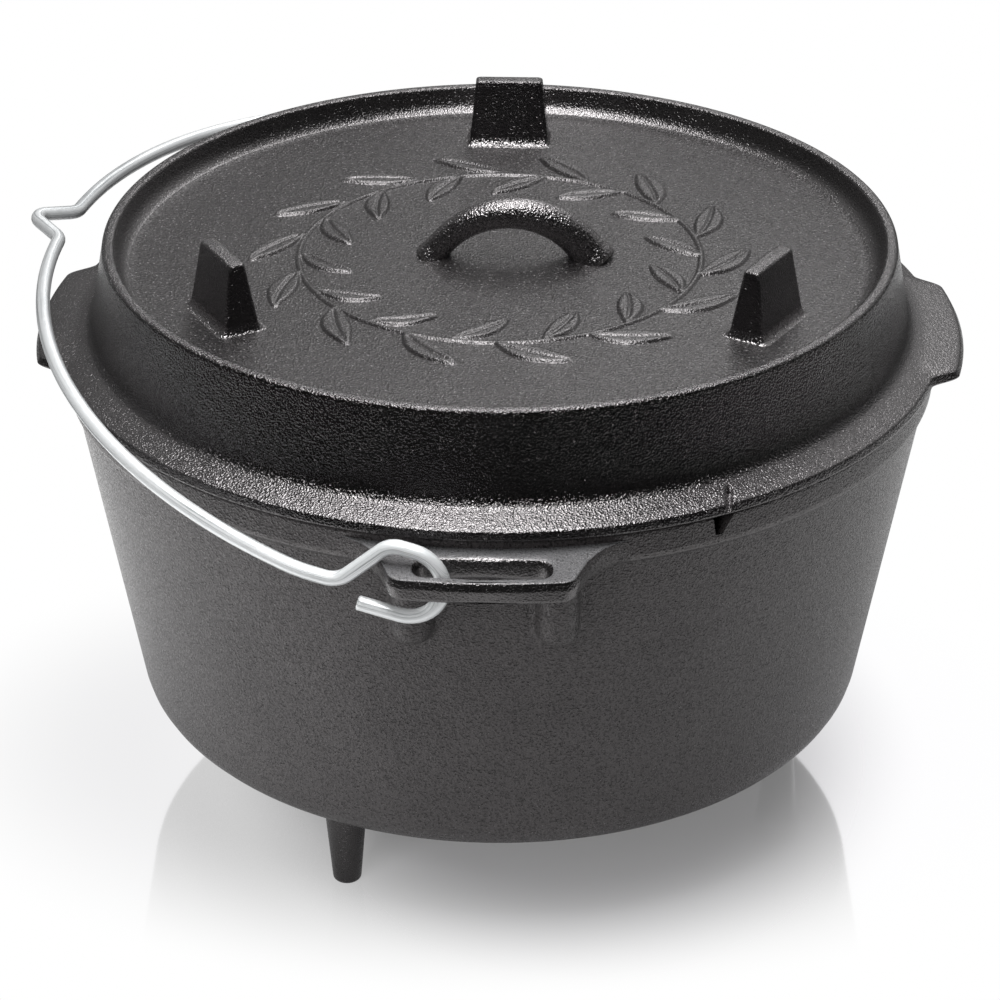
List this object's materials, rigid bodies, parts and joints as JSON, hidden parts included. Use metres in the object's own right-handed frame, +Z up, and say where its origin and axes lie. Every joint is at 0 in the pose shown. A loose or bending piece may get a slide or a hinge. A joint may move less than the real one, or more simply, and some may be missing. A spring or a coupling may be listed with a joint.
{
  "type": "camp dutch oven",
  "caption": "Footed cast-iron camp oven with tapered pot, slotted ears, flanged coal-tray lid with legs and arched handle, and a swinging wire bail for hanging it over a fire.",
  "frame": {"origin": "middle of the object's footprint on the ground, on the pot's axis", "axes": "+Z up along the pot's axis, +Y toward the rear ear, +X toward the right lug; the front ear points along -Y"},
  "size_m": [0.3372, 0.3576, 0.228],
  "materials": {
    "iron": "matte seasoned black, fine sand-cast grain",
    "wire": "bright galvanised"
  },
  "bodies": {
    "pot": {"pot": "iron"},
    "lid": {"lid": "iron"},
    "bail": {"bail": "wire"}
  },
  "joints": [
    {"name": "bail_swing", "type": "hinge", "parent": "pot", "child": "bail", "pos_m": [0, 0, 0.1674], "axis": [0.1567, 0.9876, 0], "range_deg": [0, 155.6]},
    {"name": "lid_lift", "type": "slide", "parent": "pot", "child": "lid", "axis": [0.4472, 0, 0.8944], "range_m": [0, 0.21]}
  ]
}
